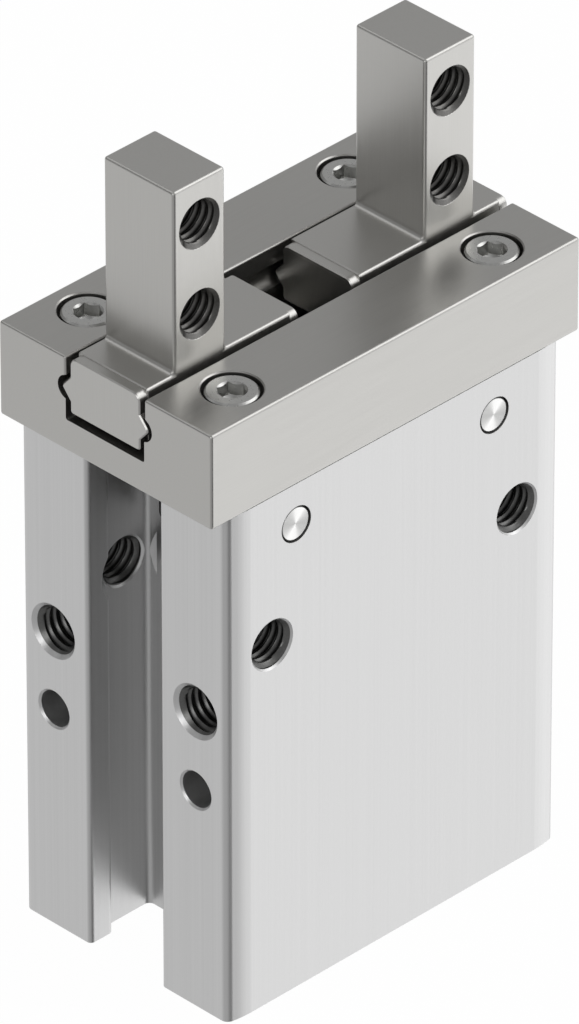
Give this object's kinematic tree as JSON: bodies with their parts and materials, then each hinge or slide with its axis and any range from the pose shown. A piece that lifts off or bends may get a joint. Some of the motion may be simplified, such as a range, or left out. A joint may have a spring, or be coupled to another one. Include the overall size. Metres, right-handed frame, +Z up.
{
  "type": "parallel gripper",
  "caption": "Pneumatic parallel gripper: aluminium housing with sensor channels, ball-guided steel rail on top and upright jaw fingers that close together.",
  "frame": {"origin": "centre of the housing's base face", "axes": "+X along the jaws' travel, +Y across the rail, +Z up from the base to the fingers"},
  "size_m": [0.038, 0.022, 0.0685],
  "materials": {
    "anodised_aluminium": "clear anodised, extruded",
    "turned_aluminium": "turned",
    "ground_steel": "ground, satin",
    "jaw_steel": "ground, satin",
    "screw_steel": "satin",
    "pin_steel": "turned",
    "rod_steel": "hard chromed",
    "lever_steel": "hardened, satin",
    "ball_steel": "polished",
    "spring_steel": "phosphated",
    "bronze": "sintered",
    "seal_rubber": "moulded",
    "bumper_rubber": "moulded",
    "magnet_ferrite": "plastic-bonded"
  },
  "bodies": {
    "base": {"housing": "anodised_aluminium", "guide_rail": "ground_steel", "rail_screws": "screw_steel", "rail_dowels": "pin_steel", "lever_pins": "pin_steel", "bottom_cap": "turned_aluminium", "cap_o_ring": "seal_rubber", "retaining_ring": "spring_steel", "lower_bumper": "bumper_rubber", "upper_bumper": "bumper_rubber", "rod_bush": "bronze", "rod_seal": "seal_rubber", "seal_retainer": "turned_aluminium"},
    "piston_assembly": {"piston": "turned_aluminium", "piston_seal": "seal_rubber", "magnet_ring": "magnet_ferrite", "piston_end_disc": "turned_aluminium", "piston_nut": "screw_steel", "piston_rod": "rod_steel", "rod_head": "lever_steel", "head_screw": "screw_steel"},
    "right_lever": {"lever_right": "lever_steel"},
    "left_lever": {"lever_left": "lever_steel"},
    "right_jaw": {"jaw_right": "jaw_steel", "inner_cap_right": "jaw_steel", "outer_cap_right": "jaw_steel"},
    "left_jaw": {"jaw_left": "jaw_steel", "inner_cap_left": "jaw_steel", "outer_cap_left": "jaw_steel"},
    "right_ball_rows": {"balls_right": "ball_steel"},
    "left_ball_rows": {"balls_left": "ball_steel"}
  },
  "joints": [
    {"name": "piston_slide", "type": "slide", "parent": "base", "child": "piston_assembly", "axis": [0, 0, -1], "range_m": [0, 0.00197]},
    {"name": "right_lever_turn", "type": "hinge", "parent": "base", "child": "right_lever", "pos_m": [0.01027, 0, 0.0411], "axis": [0, -1, 0], "range_deg": [0, 17.73]},
    {"name": "right_jaw_slide", "type": "slide", "parent": "base", "child": "right_jaw", "axis": [-1, 0, 0], "range_m": [0, 0.0026]},
    {"name": "right_balls_roll", "type": "slide", "parent": "base", "child": "right_ball_rows", "axis": [-1, 0, 0], "range_m": [0, 0.0013]},
    {"name": "left_lever_turn", "type": "hinge", "parent": "base", "child": "left_lever", "pos_m": [-0.01027, 0, 0.0411], "axis": [0, 1, 0], "range_deg": [0, 17.73]},
    {"name": "left_jaw_slide", "type": "slide", "parent": "base", "child": "left_jaw", "axis": [1, 0, 0], "range_m": [0, 0.0026]},
    {"name": "left_balls_roll", "type": "slide", "parent": "base", "child": "left_ball_rows", "axis": [1, 0, 0], "range_m": [0, 0.0013]}
  ],
  "couplings": [
    {"joint": "right_lever_turn", "follows": "piston_slide", "rad_per_m": 156.99},
    {"joint": "right_jaw_slide", "follows": "piston_slide", "ratio": 1.3187},
    {"joint": "right_balls_roll", "follows": "piston_slide", "ratio": 0.65934},
    {"joint": "left_lever_turn", "follows": "piston_slide", "rad_per_m": 156.99},
    {"joint": "left_jaw_slide", "follows": "piston_slide", "ratio": 1.3187},
    {"joint": "left_balls_roll", "follows": "piston_slide", "ratio": 0.65934}
  ]
}
